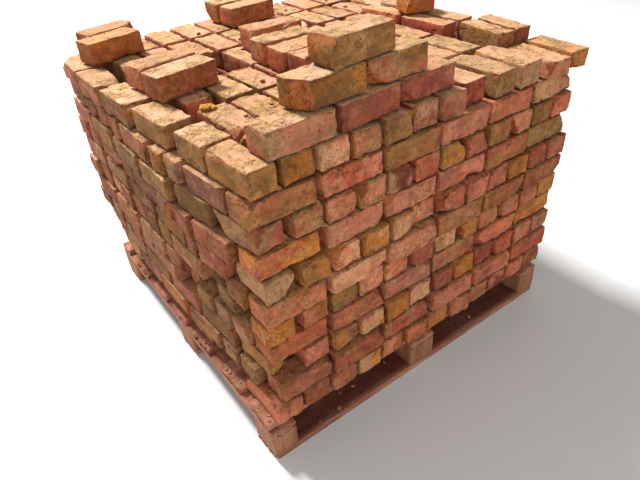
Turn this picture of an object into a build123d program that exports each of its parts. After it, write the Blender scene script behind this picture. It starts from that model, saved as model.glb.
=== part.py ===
from build123d import *
import math
import os
import random

# Frame: X runs along the pallet's front face to the right, Y runs from that face to the back, Z is up.
# The origin is the middle of the pallet's underside, on the floor.

# Pallet, in millimetres
pallet_side = 1200.0
board_thickness = 22.0
block_height = 78.0
outer_block_width = 85.0
middle_block_width = 105.0
block_depth = 110.0
board_chamfer = 1.5

# Bricks, in millimetres: two widths and a joint make a length
brick_width = 96.5
brick_height = 73.0
joint_gap = 2.5
arris = 5.0

# Deck boards run along X: near edge and width of each, as shares of the pallet's side
deck_boards = [
    (0.0, 0.111), (0.153, 0.113), (0.333, 0.1), (0.483, 0.096),
    (0.621, 0.098), (0.772, 0.099), (0.938, 0.062),
]

# Stack: eleven full courses of headers and stretchers in turn, on a grid of half bricks
modules_per_side = 6
full_courses = 11
joints_opened_along_y = 1.015
stack_off_centre = 0.36

# How far each course as a whole was laid off the line in X and Y, and how far its left side
# fans out towards the back, in brick widths
course_lays = [
    (-0.18, -0.03, 0.0), (-0.06, 0.0, 0.2), (0.06, 0.1, 0.45), (0.1, 0.2, 0.6), (0.13, 0.17, 0.75),
    (0.12, 0.05, 0.7), (0.22, 0.08, 0.7), (0.13, 0.22, 0.6), (0.21, 0.2, 0.65), (0.14, 0.25, 0.5),
    (0.1, 0.26, 0.5),
]

# Scatter of the bricks: the most by which one is short or narrow, as shares, the most that one is
# pushed out of the stack's side, in brick widths, and the most that one is turned, in degrees
most_short = 0.03
most_narrow = 0.035
most_pushed_out = 0.11
most_turned = 0.25
scatter_seed = 700

# Sizes and heights worked out from the above
brick_length = 2 * brick_width + joint_gap
half_module = brick_width + joint_gap
module = brick_length + joint_gap
headers_per_side = 2 * modules_per_side
stack_side = modules_per_side * module
core_clearance = 2 * joint_gap
stringer_base = board_thickness + block_height
deck_base = stringer_base + board_thickness
deck_top = deck_base + board_thickness
stack_left = stack_off_centre * brick_width - stack_side / 2
stack_front = -pallet_side / 2


def level(courses_below):
    return deck_top + courses_below * brick_height


def board(x_min, x_max, y_min, y_max, z_min, z_max):
    solid = Box(x_max - x_min, y_max - y_min, z_max - z_min)
    solid = chamfer(solid.edges(), board_chamfer)
    return Pos((x_min + x_max) / 2, (y_min + y_max) / 2, (z_min + z_max) / 2) * solid


def block_spans(outer_width, middle_width):
    half = pallet_side / 2
    return [
        (-half, -half + outer_width),
        (-middle_width / 2, middle_width / 2),
        (half - outer_width, half),
    ]


def pallet_nodes():
    half = pallet_side / 2
    columns = block_spans(outer_block_width, middle_block_width)
    rows = block_spans(block_depth, block_depth)
    nodes = {}
    for number, (near_share, width_share) in enumerate(deck_boards, 1):
        near = near_share * pallet_side - half
        far = near + width_share * pallet_side
        nodes[f"deck_board_{number}"] = board(-half, half, near, far, deck_base, deck_top)
    for side, (x_min, x_max) in zip(("left", "middle", "right"), columns):
        nodes[f"stringer_board_{side}"] = board(x_min, x_max, -half, half, stringer_base, deck_base)
        for place, (y_min, y_max) in zip(("front", "centre", "back"), rows):
            name = f"block_{place}_{side}"
            nodes[name] = board(x_min, x_max, y_min, y_max, board_thickness, stringer_base)
    for place, (y_min, y_max) in zip(("front", "centre", "back"), rows):
        nodes[f"bottom_board_{place}"] = board(-half, half, y_min, y_max, 0, board_thickness)
    return nodes


def brick(centre_x, centre_y, base, angle, length, width, height=brick_height):
    solid = Box(length, width, height, align=(Align.CENTER, Align.CENTER, Align.MIN))
    solid = chamfer(solid.edges().filter_by(Axis.Z), arris)
    return Pos(centre_x, centre_y, base) * Rot(0, 0, angle) * solid


# Bricks of the top course that are gone, as (column, row) in half bricks and bricks
missing_from_top = [(3, 3)]

# A brick on edge swaps its width and its height
edge_width = brick_height / brick_width
edge_height = brick_width / brick_height

# Bricks out of line, cut, broken or on edge, by (course, column, row): the shift along the brick and
# across it in brick widths, the turn in degrees, and the shares of length, width and height
odd_bricks = {
    (2, 0, 0): (0.12, 0.0, 0, 0.93, 0.98, 1.0),
    (3, 0, 0): (0.18, -0.18, 2, 0.77, 0.6, 1.0),
    (3, 1, 0): (0.02, -0.01, 0, 0.97, 0.93, 1.0),
    (8, 0, 0): (-0.07, 0.0, 0, 0.99, 1.0, 1.0),
    (10, 0, 0): (-0.08, 0.0, 0, 1.0, 1.0, 1.0),
    (7, 5, 0): (0.1, 0.0, 0, 0.9, 0.96, 1.0),
    (11, 7, 0): (0.1, 0.07, 0, 0.9, 0.95, 1.0),
    (11, 8, 0): (0.0, 0.18, 0, 0.98, 0.97, 1.0),
    (11, 9, 0): (-0.04, 0.24, 0, 1.0, 0.97, 1.0),
    (11, 10, 0): (-0.26, 0.45, -7, 1.0, 0.97, 0.79),
    (11, 11, 0): (-0.22, 0.47, -3, 0.95, 0.85, 0.79),
    (11, 10, 1): (-0.23, 0.5, -9, 1.0, edge_width, edge_height),
    (11, 11, 1): (-0.25, 0.3, -8, 1.0, edge_width, edge_height),
    (11, 10, 2): (-0.15, -0.04, 4, 1.0, edge_width, edge_height),
    (11, 11, 2): (-0.12, -0.19, 1, 1.0, edge_width, edge_height),
    (11, 10, 3): (0.0, -0.1, 2, 1.0, edge_width, edge_height),
    (11, 11, 3): (0.02, -0.2, 0, 1.0, edge_width, edge_height),
}

# The second column of the top course is open by half a brick between its second and third rows
top_gap_column = 1
top_gap_row = 2
top_gap = 0.45 * brick_width

# The left side, where the bricks follow no line, by course: how far the near left corner of each brick
# lies from the pallet's, along X and Y in millimetres, whether the side or an end of the brick shows,
# its turn in degrees, and the shares of its length and of its width
side_on = 90.0
end_on = 0.0
left_side_bricks = {
    1: [
        (25, -3, side_on, 0.5, 0.98, 1.0), (68, 203, side_on, -1.0, 0.98, 0.97),
        (24, 404, side_on, 0.0, 0.99, 1.0), (20, 605, side_on, 0.5, 1.0, 0.97),
        (21, 806, side_on, -0.5, 0.98, 1.0), (25, 1008, side_on, 0.0, 1.0, 1.0),
    ],
    2: [
        (26, 103, end_on, 0.0, 1.0, 0.98), (20, 203, end_on, 1.0, 0.97, 0.87),
        (14, 300, side_on, 3.0, 0.96, 0.97), (0, 516, side_on, 0.0, 0.99, 1.0),
        (-1, 714, end_on, 0.0, 0.98, 1.0), (1, 814, end_on, -0.5, 1.0, 0.98),
        (-3, 914, end_on, 0.0, 1.0, 1.0), (5, 1012, end_on, 0.5, 0.97, 0.95),
    ],
    3: [
        (27, 214, side_on, 3.0, 0.98, 0.98), (12, 418, side_on, 2.0, 0.98, 1.0),
        (3, 620, side_on, 1.0, 1.0, 0.97), (0, 824, side_on, 0.0, 0.99, 1.0),
        (4, 1027, side_on, -0.5, 0.98, 0.98),
    ],
    4: [
        (35, 119, end_on, 2.0, 0.98, 0.93), (28, 216, end_on, 0.0, 1.0, 0.96),
        (19, 314, end_on, 0.5, 1.0, 1.0), (42, 414, end_on, 0.0, 0.84, 0.97),
        (-4, 514, side_on, -1.0, 1.0, 1.0), (2, 714, end_on, 0.0, 1.0, 0.98),
        (-3, 817, end_on, 0.0, 0.97, 1.0), (3, 920, end_on, -0.5, 1.0, 1.0),
        (0, 1022, end_on, 0.0, 0.98, 0.97),
    ],
    5: [
        (38, 14, side_on, -2.0, 0.51, 0.97), (40, 186, side_on, 1.0, 0.49, 1.0),
        (64, 292, side_on, 0.0, 0.8, 1.0), (6, 456, side_on, 3.0, 0.5, 1.0),
        (-4, 562, side_on, 0.5, 0.99, 1.0), (-9, 772, side_on, 0.0, 1.0, 0.97),
        (-10, 985, side_on, -0.5, 1.0, 1.0),
    ],
    6: [
        (33, 106, end_on, 1.0, 1.0, 0.97), (66, 205, end_on, 0.0, 0.7, 0.88),
        (10, 295, side_on, 1.5, 0.98, 1.0), (6, 494, end_on, 0.0, 1.0, 0.95),
        (2, 592, end_on, 0.0, 0.98, 0.98), (5, 693, end_on, 0.5, 1.0, 1.0),
        (-4, 796, end_on, 0.0, 1.0, 0.97), (3, 900, end_on, -0.5, 0.97, 1.0),
        (0, 1005, end_on, 0.0, 1.0, 1.0),
    ],
    7: [
        (57, 12, side_on, 1.0, 0.74, 0.96), (27, 167, side_on, 6.0, 0.67, 0.97),
        (9, 313, side_on, 0.0, 0.29, 1.0), (8, 374, side_on, 0.5, 1.0, 1.0),
        (4, 584, side_on, 0.0, 0.99, 0.98), (1, 796, side_on, 0.5, 1.0, 1.0),
        (-2, 1008, side_on, 0.0, 0.99, 1.0),
    ],
    8: [
        (27, 126, side_on, 6.5, 0.86, 0.98), (2, 306, end_on, 0.0, 1.0, 0.93),
        (-5, 401, end_on, 0.0, 0.98, 0.97), (1, 504, side_on, 0.0, 0.98, 1.0),
        (3, 702, end_on, 0.5, 1.0, 1.0), (-2, 805, end_on, 0.0, 0.98, 1.0),
        (4, 910, end_on, 0.0, 1.0, 0.97), (0, 1016, end_on, -0.5, 1.0, 1.0),
    ],
    9: [
        (58, 20, side_on, 7.5, 0.9, 0.92), (30, 200, side_on, 6.5, 0.87, 0.96),
        (-4, 386, side_on, 0.5, 0.97, 1.0), (-7, 590, side_on, 0.0, 1.0, 0.98),
        (-9, 800, side_on, -1.0, 0.98, 1.0), (-3, 1012, side_on, -0.5, 1.0, 0.97),
    ],
    10: [
        (39, 126, side_on, 4.0, 0.92, 0.98), (13, 316, end_on, 0.0, 1.0, 0.85),
        (3, 401, end_on, 0.0, 0.98, 0.84), (-1, 500, side_on, 0.0, 0.97, 1.0),
        (-4, 696, end_on, 0.0, 1.0, 0.97), (0, 800, end_on, 0.5, 0.98, 1.0),
        (-5, 905, end_on, 0.0, 1.0, 0.98), (2, 1012, end_on, 0.0, 1.0, 1.0),
    ],
    11: [
        (61, 22, side_on, 4.5, 0.92, 0.86), (45, 207, side_on, 4.0, 0.7, 0.97),
        (30, 388, side_on, 5.0, 0.96, 0.98), (4, 592, side_on, 3.0, 1.0, 1.0),
        (-10, 796, side_on, 0.5, 1.0, 0.97), (-9, 1000, side_on, -1.5, 0.98, 1.0),
    ],
}


def grid_place(course, column, row):
    # Odd courses lie with their bricks along Y, even ones along X
    along = (row + 0.5) * module
    across = (column + 0.5) * half_module
    if course % 2:
        return across, along * joints_opened_along_y, 90.0
    return along, across * joints_opened_along_y, 0.0


def on_left_side(course, column, row):
    # In even courses the first and the last one there belong to the front and the back
    if course % 2:
        return column == 0 and (course, column, row) not in odd_bricks
    return row == 0 and 0 < column < headers_per_side - 1


def corner_brick(near_x, near_y, base, angle, length_left, width_left, mirrored=False):
    # One corner of the brick is at the given place, and its width lies to the left of its length from
    # there, or to the right where it is mirrored
    turn = math.radians(angle)
    length = brick_length * length_left
    width = brick_width * width_left
    side = -1 if mirrored else 1
    x = near_x + (length * math.cos(turn) - side * width * math.sin(turn)) / 2
    y = near_y + (length * math.sin(turn) + side * width * math.cos(turn)) / 2
    return brick(x, y, base, angle, length, width)


def left_side_brick(course, x, y, way, turn, length_left, width_left):
    near_x = x - pallet_side / 2
    near_y = y - pallet_side / 2
    mirrored = way == side_on
    return corner_brick(near_x, near_y, level(course - 1), way + turn, length_left, width_left, mirrored)


def course_bricks(course):
    dice = random.Random(scatter_seed + course)
    shift_x, shift_y, fan = course_lays[course - 1]
    solids = []
    for column in range(headers_per_side):
        for row in range(modules_per_side):
            at_side = column in (0, headers_per_side - 1)
            at_end = row in (0, modules_per_side - 1)
            height = brick_height
            length = brick_length * (1 - dice.uniform(0, most_short))
            width = brick_width * (1 - dice.uniform(0, most_narrow))
            turn = dice.uniform(-most_turned, most_turned)
            push = brick_width * dice.uniform(0, most_pushed_out)
            if course < full_courses and not (at_side or at_end):
                continue
            if course == full_courses and (column, row) in missing_from_top:
                continue
            if on_left_side(course, column, row):
                continue
            x, y, angle = grid_place(course, column, row)
            along = 0.0
            across = 0.0
            if (course, column, row) in odd_bricks:
                along, across, turn, *shares = odd_bricks[(course, column, row)]
                length_left, width_left, height_left = shares
                along *= brick_width
                across *= brick_width
                length = brick_length * length_left
                width = brick_width * width_left
                height = brick_height * height_left
            elif at_end:
                along = push if row else -push
            elif at_side:
                across = push if column else -push
            if course == full_courses and column == top_gap_column and row >= top_gap_row:
                along = top_gap
            fan_here = fan * brick_width * (1 - x / stack_side)
            x_fan = -fan_here * y / stack_side
            if course % 2:
                turn += math.degrees(fan_here / stack_side)
                x += across
                y += along
            else:
                x += along
                y += across
            x += stack_left + x_fan + shift_x * brick_width
            y += stack_front + shift_y * brick_width
            solids.append(brick(x, y, level(course - 1), angle + turn, length, width, height))
    for x, y, way, turn, length_left, width_left in left_side_bricks[course]:
        solids.append(left_side_brick(course, x, y, way, turn, length_left, width_left))
    return solids


def hidden_core():
    # Stands for the bricks of courses 1 to 10 that lie behind the outer ones, where nothing shows
    x_shifts = [lay[0] * brick_width for lay in course_lays[:-1]]
    y_shifts = [lay[1] * brick_width for lay in course_lays[:-1]]
    inset = module + core_clearance
    left = stack_left + inset + max(x_shifts)
    right = stack_left + stack_side - inset + min(x_shifts)
    front = stack_front + inset * joints_opened_along_y + max(y_shifts)
    back = stack_front + (stack_side - inset) * joints_opened_along_y + min(y_shifts)
    height = (full_courses - 1) * brick_height
    core = Box(right - left, back - front, height)
    return Pos((left + right) / 2, (front + back) / 2, deck_top + height / 2) * core


# Loose bricks on top, by course: how far the near left corner of each lies from the stack's, along X
# and Y in half modules, its turn, for a cut brick the share of the length and of the width left, and
# how far the bricks on edge lift it, in brick heights
loose_bricks = {
    12: [
        (0.79, 0.26, 1.0),
        (2.86, 0.3, 3.5),
        (4.86, 0.47, -0.5),
        (4.09, 3.45, 1.0),
        (4.06, 4.49, 2.0),
        (4.03, 5.62, -1.0),
        (4.45, 7.04, -4.0),
        (0.5, 5.2, 8.5),
        (0.37, 6.34, 5.5),
        (0.14, 9.8, 12.0),
        (0.45, 10.97, 12.0),
        (5.5, 10.15, 5.0),
        (5.42, 11.16, 5.0),
        (10.14, 5.9, -18.0, 0.6, 1.0, edge_height - 1),
    ],
    13: [
        (1.81, 0.36, 2.0),
        (3.83, 0.48, 0.5),
    ],
    14: [
        (2.78, 0.37, 5.0),
    ],
}


def loose_brick(course, x_steps, y_steps, angle, length_left=1.0, width_left=1.0, lift=0.0):
    near_x = stack_left + x_steps * half_module
    near_y = stack_front + y_steps * half_module
    return corner_brick(near_x, near_y, level(course - 1 + lift), angle, length_left, width_left)


def write_node(name, solids):
    shape = Compound(children=solids) if len(solids) > 1 else solids[0]
    shape.label = name
    export_step(shape, f"parts/{name}.step")


os.makedirs("parts", exist_ok=True)
for name, solid in pallet_nodes().items():
    write_node(name, [solid])
for course in range(1, full_courses + 1):
    write_node(f"course_{course:02d}", course_bricks(course))
for course, places in loose_bricks.items():
    loose = [loose_brick(course, *place) for place in places]
    write_node(f"loose_bricks_{course}", loose)
write_node("hidden_core", [hidden_core()])
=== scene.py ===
import math
import random

import bmesh
import bpy
import numpy as np
from mathutils import Matrix, Vector


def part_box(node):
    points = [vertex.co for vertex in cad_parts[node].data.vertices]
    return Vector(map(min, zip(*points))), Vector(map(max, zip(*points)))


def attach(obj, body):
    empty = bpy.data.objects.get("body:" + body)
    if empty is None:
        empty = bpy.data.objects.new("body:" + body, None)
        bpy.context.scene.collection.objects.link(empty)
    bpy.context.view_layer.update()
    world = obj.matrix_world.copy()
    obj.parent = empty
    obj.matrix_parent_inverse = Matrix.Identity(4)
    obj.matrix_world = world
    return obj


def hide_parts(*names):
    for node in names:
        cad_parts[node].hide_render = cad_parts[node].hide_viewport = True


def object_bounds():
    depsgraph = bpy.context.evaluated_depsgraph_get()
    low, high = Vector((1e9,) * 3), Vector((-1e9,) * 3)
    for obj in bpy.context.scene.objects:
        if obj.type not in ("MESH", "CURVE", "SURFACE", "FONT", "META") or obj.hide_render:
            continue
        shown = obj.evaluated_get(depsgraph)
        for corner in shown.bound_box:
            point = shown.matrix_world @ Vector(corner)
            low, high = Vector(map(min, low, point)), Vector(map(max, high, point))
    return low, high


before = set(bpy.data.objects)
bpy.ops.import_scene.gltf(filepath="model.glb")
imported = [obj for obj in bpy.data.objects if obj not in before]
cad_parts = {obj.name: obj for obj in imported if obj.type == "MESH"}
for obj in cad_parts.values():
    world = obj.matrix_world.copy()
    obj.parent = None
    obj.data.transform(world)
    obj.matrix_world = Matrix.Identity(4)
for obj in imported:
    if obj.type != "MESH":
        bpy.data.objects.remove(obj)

cadLow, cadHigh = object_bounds()
scene = bpy.context.scene
print("stage 1: frame loaded with", len(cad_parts), "nodes")


def inScene(name, data):
    thing = bpy.data.objects.new(name, data)
    scene.collection.objects.link(thing)
    return thing


# Node trees: a wire is a socket that takes part in sums, a board is the tree it lies in

noiseRange = (0.3, 0.7)  # what most of a noise lies between


def mathsMethod(operation):
    # a method that makes a new wire of two
    def method(self, other):
        return self.maths(operation, other)

    return method


class Wire:
    def __init__(self, board, socket):
        self.board = board
        self.socket = socket

    def maths(self, operation, *others):
        inputs = dict(enumerate((self, *others)))
        return self.board.add("ShaderNodeMath", {"operation": operation}, inputs)

    __add__ = __radd__ = mathsMethod("ADD")
    __mul__ = __rmul__ = mathsMethod("MULTIPLY")
    __sub__ = mathsMethod("SUBTRACT")
    __truediv__ = mathsMethod("DIVIDE")
    atLeast = mathsMethod("MAXIMUM")
    atMost = mathsMethod("MINIMUM")

    def __rsub__(self, other):
        return (self * -1.0) + other

    def __rtruediv__(self, other):
        return self.maths("POWER", -1.0) * other

    def ramp(self, low, high, bottom=0.0, top=1.0):
        # rises smoothly from bottom to top while the value goes from low to high
        settings = {"interpolation_type": "SMOOTHSTEP"}
        return self.board.add("ShaderNodeMapRange", settings, {0: self, 1: low, 2: high, 3: bottom, 4: top})

    def spread(self, bottom, top):
        # a noise turned into factors from bottom to top
        return self.ramp(*noiseRange, bottom, top)


class Board:
    def __init__(self, tree):
        self.tree = tree

    def feed(self, value, socket):
        if isinstance(value, Wire):
            self.tree.links.new(value.socket, socket)
        elif isinstance(value, bpy.types.NodeSocket):
            self.tree.links.new(value, socket)
        else:
            socket.default_value = value

    def add(self, kind, settings=None, inputs=None, output=0):
        node = self.tree.nodes.new(kind)
        for name, value in (settings or {}).items():
            setattr(node, name, value)
        for name, value in (inputs or {}).items():
            self.feed(value, node.inputs[name])
        return Wire(self, node.outputs[output])

    def vector(self, operation, *parts, output=0):
        return self.add("ShaderNodeVectorMath", {"operation": operation}, dict(enumerate(parts)), output)

    def scaled(self, part, factor):
        return self.add("ShaderNodeVectorMath", {"operation": "SCALE"}, {0: part, "Scale": factor})

    def moved(self, place, direction, amount):
        return self.vector("ADD", place, self.scaled(direction, amount))

    def part(self, place, axis):
        return self.add("ShaderNodeSeparateXYZ", {}, {0: place}, axis)

    def joined(self, *parts):
        return self.add("ShaderNodeCombineXYZ", {}, dict(enumerate(parts)))

    def noise(self, place, size, detail=2.0, roughness=0.5, stretch=1.0, shift=None):
        # size is about how wide one blotch is, in metres; a stretch below 1 makes it longer along X
        if shift or stretch != 1.0:
            place = self.vector("MULTIPLY_ADD", place, (stretch, 1.0, 1.0), shift or (0.0, 0.0, 0.0))
        inputs = {"Vector": place, "Scale": 1.0 / size, "Detail": detail, "Roughness": roughness}
        return self.add("ShaderNodeTexNoise", {}, inputs)

    def mix(self, factor, first, second, mode="MIX"):
        settings = {"data_type": "RGBA", "blend_type": mode, "clamp_factor": True}
        return self.add("ShaderNodeMix", settings, {0: factor, 6: first, 7: second}, 2)

    def between(self, factor, pair):
        return self.mix(factor, linear(*pair[0]), linear(*pair[1]))

    def shaded(self, colour, *factors):
        # a colour made lighter or darker by numbers near 1
        factor = factors[0]
        for other in factors[1:]:
            factor = factor * other
        grey = self.add("ShaderNodeCombineColor", {}, {0: factor, 1: factor, 2: factor})
        return self.mix(1.0, colour, grey, "MULTIPLY")

    def marked(self, colour, mark, mask, blend=None, *lights):
        # a colour with a mark over it: its strength, and its one tone or the two that the blend goes between
        strength, *pair = mark
        tone = self.between(blend, pair) if len(pair) > 1 else linear(*pair[0])
        if lights:
            tone = self.shaded(tone, *lights)
        return self.mix(mask * strength, colour, tone)

    def attribute(self, name, output="Fac"):
        # what a material finds on the mesh
        return self.add("ShaderNodeAttribute", {"attribute_name": name}, {}, output)

    def named(self, name, kind="FLOAT"):
        # what a tree for meshes finds on the places
        return self.add("GeometryNodeInputNamedAttribute", {"data_type": kind}, {"Name": name})

    def keep(self, geometry, name, kind, value):
        settings = {"data_type": kind, "domain": "POINT"}
        inputs = {"Geometry": geometry, "Name": name, "Value": value}
        return self.add("GeometryNodeStoreNamedAttribute", settings, inputs)


def linear(red, green, blue):
    # a colour as a screen shows it, from 0 to 255, in the linear values that shaders take
    parts = [part / 255 for part in (red, green, blue)]
    parts = [part / 12.92 if part <= 0.04045 else ((part + 0.055) / 1.055) ** 2.4 for part in parts]
    return (*parts, 1.0)


# Camera, where the photograph was taken from

cameraPlan = {
    "place": (-0.9842, -1.5016, 1.5063),
    "heading": 56.26,
    "down": 36.06,
    "roll": -4.54,
    "lens": 31.31,
    "film": 36.0,
}


def makeCamera():
    heading, down, roll = [math.radians(cameraPlan[key]) for key in ("heading", "down", "roll")]
    ahead = Vector((math.cos(down) * math.cos(heading), math.cos(down) * math.sin(heading), -math.sin(down)))
    right = ahead.cross(Vector((0, 0, 1))).normalized()
    up = right.cross(ahead)
    rolledRight = math.cos(roll) * right + math.sin(roll) * up
    rolledUp = math.cos(roll) * up - math.sin(roll) * right
    lens = bpy.data.cameras.new("camera")
    lens.sensor_width = cameraPlan["film"]
    lens.lens = cameraPlan["lens"]
    camera = inScene("camera", lens)
    turn = Matrix((rolledRight, rolledUp, -ahead)).transposed()
    camera.matrix_world = Matrix.Translation(cameraPlan["place"]) @ turn.to_4x4()
    scene.camera = camera


makeCamera()
print("stage 2: camera")


# Bricks

brickPlan = {
    "cutsAlongX": 20,
    "cutsAlongY": 11,
    "cutsAlongZ": 8,
    "gatherAtEdges": 0.85,
    "arris": 0.0040,  # rounding of the edges, in metres as all sizes here
    "edgeBlotch": 0.028,
    "edgeBit": 0.012,
    "joint": 0.0022,  # how far each side lies back from its solid
    "lower": (0.001, 0.0050),  # how much lower the top lies than its solid's
    "waves": 0.0024,
    "waveLength": 0.09,
    "lumps": 0.0024,
    "lumpSize": 0.024,
    "grit": 0.0014,
    "gritSize": 0.008,
    "crust": 0.0026,
    "crustSize": 0.05,
    "crustGrain": 0.007,
    "crustShares": (0.0, 0.0, 0.3, 0.4, 0.48),
    "raggedSize": 0.018,
    "bites": 3,
    "biteSizes": (0.0, 0.012, 0.018, 0.026, 0.034),
    "biteScatter": (0.7, 1.2),
    "biteStandOff": 9.0,
    "biteAlongEdge": 0.6,  # chance that a bite lies along an edge and not at a corner
    "breaks": 2,
    "breakDepths": (0.0, 0.0, 0.008, 0.016, 0.026),
    "breakScatter": (0.6, 1.2),
    "breakRoughness": 0.009,
    "tilt": (0.5, 0.4),  # degrees, about the length and the width
    "wear": (0.7, 1.4),
    "film": (0.3, 0.55),
    "patchShare": (0.25, 0.5),
    "channelScatter": (0.985, 1.015),
    "topHeight": 0.90,
    "frontDepth": 0.085,
    "leftDepth": 0.11,
    "farSide": 0.5,
    "seedReach": 40,
    "seed": 11,
}

biteNumbers = range(1, brickPlan["bites"] + 1)
breakNumbers = range(1, brickPlan["breaks"] + 1)

# Tones of the fired clay, as a screen shows them
tones = {
    "salmon": (196, 110, 76),
    "pink": (206, 122, 92),
    "red": (176, 86, 60),
    "darkRed": (132, 54, 36),
    "brown": (170, 98, 58),
    "ochre": (194, 118, 48),
    "olive": (162, 111, 56),
    "pale": (210, 150, 106),
    "grey": (176, 126, 86),
    "yellow": (204, 140, 44),
}

# How often each tone comes up: front and back of the stack, its left and right, and inside and on top
usualTones = {
    "long": ["salmon"] * 7 + ["pink"] * 6 + ["red"] * 4 + ["brown"] * 4 + ["pale"] * 2 + ["olive", "ochre"],
    "short": ["brown"] * 7 + ["olive"] * 4 + ["ochre"] * 2 + ["salmon"] * 3 + ["pink"] * 2 + ["red", "grey"],
    "inside": ["salmon"] * 3 + ["pale"] * 3 + ["pink"] * 3 + ["brown"] * 2 + ["olive"] * 2 + ["red", "ochre"],
}
usualPatches = ["olive", "pale", "red", "salmon", "brown", "darkRed", "pink", "salmon", "pink"]

# How light the clay is on each side, the left one darker as painted shade, and how much pale sand lies on its
# ledges, real sand that on the left side also serves as painted highlight
paintedSideShade = {"front": (0.90, 1.08), "left": (0.68, 0.94), "inside": (0.88, 1.06), "top": (0.84, 1.04)}
dustAndLedgeLightShares = {"front": (0.0, 0.25), "left": (0.35, 0.85), "inside": (0.1, 0.5), "top": (0.5, 1.0)}

# Bricks that stand out: counted from the left on the front, from the front on the left side, and along X
# for the loose ones, with their tone, the tone of their patches and how much of them these take
notableBricks = {
    "course_01 front": {
        1: ("salmon", "pink", 0.45), 2: ("red", "brown", 0.42), 3: ("red", "pink", 0.42),
        4: ("pale", "ochre", 0.46), 7: ("ochre", "brown", 0.45), 12: ("red", "brown", 0.4),
    },
    "course_02 front": {1: ("brown", "pink", 0.45), 2: ("red", "olive", 0.45), 3: ("red", "salmon", 0.4)},
    "course_02 left": {1: ("olive", "grey", 0.5), 3: ("ochre", "olive", 0.5), 4: ("salmon", "ochre", 0.5)},
    "course_03 front": {
        1: ("olive", "darkRed", 0.4), 2: ("pink", "red", 0.42), 3: ("ochre", "brown", 0.4),
        4: ("pale", "pink", 0.45), 5: ("ochre", "olive", 0.35), 8: ("ochre", "brown", 0.4),
        9: ("red", "salmon", 0.4),
    },
    "course_04 front": {1: ("red", "brown", 0.47), 6: ("brown", "ochre", 0.5)},
    "course_04 left": {1: ("salmon", "pale", 0.5)},
    "course_05 front": {
        1: ("ochre", "brown", 0.35), 3: ("olive", "pink", 0.45), 7: ("olive", "pale", 0.5),
        12: ("ochre", "olive", 0.4),
    },
    "course_05 left": {2: ("olive", "grey", 0.5), 3: ("brown", "darkRed", 0.5), 4: ("pink", "salmon", 0.4)},
    "course_06 front": {
        1: ("salmon", "brown", 0.46), 2: ("pale", "salmon", 0.4), 5: ("brown", "ochre", 0.46),
        6: ("red", "brown", 0.45),
    },
    "course_06 left": {3: ("brown", "ochre", 0.4)},
    "course_07 front": {
        1: ("pale", "grey", 0.4), 2: ("ochre", "olive", 0.45), 3: ("pale", "salmon", 0.4),
        4: ("ochre", "pale", 0.5), 5: ("pale", "ochre", 0.42), 10: ("ochre", "ochre", 0.3),
        11: ("red", "brown", 0.42), 12: ("red", "brown", 0.45),
    },
    "course_07 left": {3: ("ochre", "olive", 0.5), 4: ("brown", "ochre", 0.45)},
    "course_08 front": {1: ("red", "ochre", 0.50), 2: ("pink", "red", 0.42)},
    "course_08 left": {2: ("brown", "pink", 0.4)},
    "course_09 front": {
        1: ("grey", "red", 0.40), 3: ("salmon", "pink", 0.45), 4: ("olive", "pink", 0.5),
        7: ("ochre", "pale", 0.46), 9: ("olive", "brown", 0.4), 11: ("olive", "brown", 0.4),
    },
    "course_09 left": {2: ("grey", "olive", 0.5), 3: ("olive", "grey", 0.5)},
    "course_10 front": {
        1: ("brown", "olive", 0.48), 2: ("red", "pink", 0.47), 3: ("brown", "olive", 0.47),
        5: ("salmon", "red", 0.4),
    },
    "course_10 left": {2: ("pink", "grey", 0.45), 3: ("ochre", "olive", 0.5), 4: ("pink", "brown", 0.5)},
    "course_11 front": {
        1: ("olive", "ochre", 0.30), 2: ("ochre", "olive", 0.45), 3: ("pale", "salmon", 0.42),
        5: ("olive", "brown", 0.4), 6: ("red", "pale", 0.4), 7: ("pink", "red", 0.45),
        8: ("darkRed", "red", 0.5), 9: ("olive", "brown", 0.4), 11: ("pink", "ochre", 0.4),
        12: ("ochre", "salmon", 0.4),
    },
    "course_11 left": {2: ("grey", "olive", 0.55), 3: ("olive", "brown", 0.5), 4: ("brown", "pink", 0.4)},
    "loose_bricks_12 any": {
        1: ("ochre", "brown", 0.45), 2: ("pink", "pale", 0.4), 3: ("brown", "pink", 0.4),
        4: ("brown", "salmon", 0.47), 5: ("pink", "grey", 0.46), 6: ("red", "salmon", 0.45),
        7: ("red", "pink", 0.4), 8: ("salmon", "brown", 0.4), 9: ("pink", "ochre", 0.45),
        10: ("salmon", "pink", 0.4), 11: ("red", "pink", 0.46), 14: ("red", "ochre", 0.45),
    },
    "loose_bricks_13 any": {1: ("olive", "ochre", 0.38), 2: ("olive", "salmon", 0.47)},
    "loose_bricks_14 any": {1: ("olive", "ochre", 0.42)},
}

# Cuts and breaks that show: the way each one faces in the stack's own axes and how deep it goes
notableBreaks = {
    "course_03 front": {1: ((0.8, -0.3, 0.5), 0.022), 3: ((0.2, -0.3, -0.9), 0.016)},
    "course_04 front": {1: ((-0.5, -0.3, 0.8), 0.02)},
    "course_07 front": {1: ((0.75, -0.1, -0.65), 0.030), 5: ((0.7, -0.1, -0.7), 0.024)},
    "course_09 front": {7: ((0.7, -0.2, 0.7), 0.024)},
    "course_10 front": {1: ((-0.65, -0.35, 0.68), 0.024)},
    "course_11 front": {1: ((-0.8, 0.0, 0.6), 0.012), 11: ((-0.7, -0.5, 0.5), 0.022)},
    "course_11 left": {3: ((-0.3, -0.75, 0.6), 0.026)},
    "loose_bricks_12 any": {9: ((-0.8, -0.5, 0.3), 0.016), 14: ((-0.95, 0.1, 0.3), 0.02)},
    "loose_bricks_13 any": {1: ((-0.85, -0.5, 0.0), 0.030)},
    "loose_bricks_14 any": {1: ((-0.9, -0.1, 0.4), 0.010)},
}


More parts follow.
